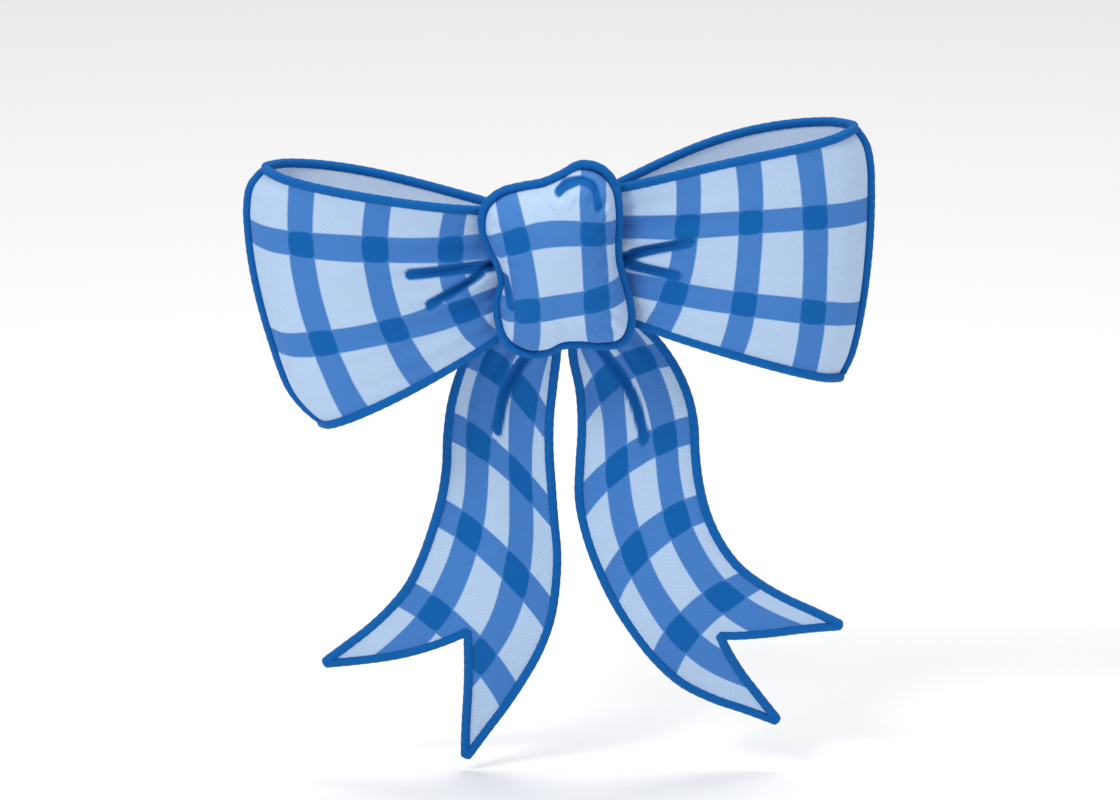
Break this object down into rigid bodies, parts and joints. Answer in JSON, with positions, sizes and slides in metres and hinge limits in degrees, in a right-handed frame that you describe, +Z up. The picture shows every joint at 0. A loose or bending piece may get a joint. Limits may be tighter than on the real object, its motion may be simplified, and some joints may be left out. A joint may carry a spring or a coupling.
{
  "type": "gift bow",
  "caption": "Pre-made gift bow: two wide gingham ribbon loops and two notched tails held by a padded knot, with an adhesive pad and a twist tie behind.",
  "frame": {"origin": "centre of the release liner's rear face, behind the middle of the knot", "axes": "+Z up, towards the top of the knot; +Y out of the back, towards the present; +X towards the bow's right-hand loop as seen from the front"},
  "size_m": [0.16, 0.0377, 0.1727],
  "materials": {
    "gingham_ribbon": "printed cotton gingham, mid blue bars on pale blue, plain pale reverse",
    "edge_binding": "dark blue corded binding",
    "edge_wire": "thin galvanised craft wire",
    "wadding": "polyester wadding",
    "thread": "waxed thread lashing",
    "card": "uncoated grey-white card",
    "foam": "closed-cell foam with adhesive on both faces",
    "liner_film": "siliconised release film",
    "tie_plastic": "plastic-coated wire strip"
  },
  "bodies": {
    "knot": {"knot_front_panel": "gingham_ribbon", "knot_back_panel": "gingham_ribbon", "knot_piping": "edge_binding", "knot_wadding": "wadding", "loop_gather": "gingham_ribbon", "gather_thread": "thread", "tail_fold": "gingham_ribbon", "backing_card": "card", "foam_pad": "foam", "twist_tie_centre": "tie_plastic"},
    "liner": {"release_liner": "liner_film"},
    "left_tie_leg": {"twist_tie_leg_left": "tie_plastic"},
    "left_loop": {"left_loop_front_panel": "gingham_ribbon", "left_loop_bottom_front_binding": "edge_binding", "left_loop_bottom_front_wire": "edge_wire", "left_loop_top_front_binding": "edge_binding", "left_loop_top_front_wire": "edge_wire", "left_loop_back_panel": "gingham_ribbon", "left_loop_bottom_back_binding": "edge_binding", "left_loop_bottom_back_wire": "edge_wire", "left_loop_top_back_binding": "edge_binding", "left_loop_top_back_wire": "edge_wire", "left_loop_end_piping": "edge_binding"},
    "left_tail": {"left_tail_panel": "gingham_ribbon", "left_tail_outer_binding": "edge_binding", "left_tail_outer_wire": "edge_wire", "left_tail_inner_binding": "edge_binding", "left_tail_inner_wire": "edge_wire", "left_tail_notch_binding": "edge_binding"},
    "right_tie_leg": {"twist_tie_leg_right": "tie_plastic"},
    "right_loop": {"right_loop_front_panel": "gingham_ribbon", "right_loop_bottom_front_binding": "edge_binding", "right_loop_bottom_front_wire": "edge_wire", "right_loop_top_front_binding": "edge_binding", "right_loop_top_front_wire": "edge_wire", "right_loop_back_panel": "gingham_ribbon", "right_loop_bottom_back_binding": "edge_binding", "right_loop_bottom_back_wire": "edge_wire", "right_loop_top_back_binding": "edge_binding", "right_loop_top_back_wire": "edge_wire", "right_loop_end_piping": "edge_binding"},
    "right_tail": {"right_tail_panel": "gingham_ribbon", "right_tail_outer_binding": "edge_binding", "right_tail_outer_wire": "edge_wire", "right_tail_inner_binding": "edge_binding", "right_tail_inner_wire": "edge_wire", "right_tail_notch_binding": "edge_binding"}
  },
  "joints": [
    {"name": "liner_peel", "type": "slide", "parent": "knot", "child": "liner", "axis": [0, 1, 0], "range_m": [0, 0.06]},
    {"name": "left_loop_lift", "type": "hinge", "parent": "knot", "child": "left_loop", "pos_m": [-0.013, -0.019, -0.001], "axis": [0, 1, 0], "range_deg": [-8, 12]},
    {"name": "right_loop_lift", "type": "hinge", "parent": "knot", "child": "right_loop", "pos_m": [0.013, -0.019, 0.004], "axis": [0, -1, 0], "range_deg": [-8, 12]},
    {"name": "left_tail_swing", "type": "hinge", "parent": "knot", "child": "left_tail", "pos_m": [-0.0065, -0.01, -0.0145], "axis": [0, 1, 0], "range_deg": [-2, 18]},
    {"name": "right_tail_swing", "type": "hinge", "parent": "knot", "child": "right_tail", "pos_m": [0.009, -0.01, -0.0145], "axis": [0, -1, 0], "range_deg": [-2, 18]},
    {"name": "left_tie_leg_bend", "type": "hinge", "parent": "knot", "child": "left_tie_leg", "pos_m": [-0.015, -0.0043, 0], "axis": [0, 0, -1], "range_deg": [0, 90]},
    {"name": "right_tie_leg_bend", "type": "hinge", "parent": "knot", "child": "right_tie_leg", "pos_m": [0.015, -0.0043, 0], "axis": [0, 0, 1], "range_deg": [0, 90]}
  ]
}
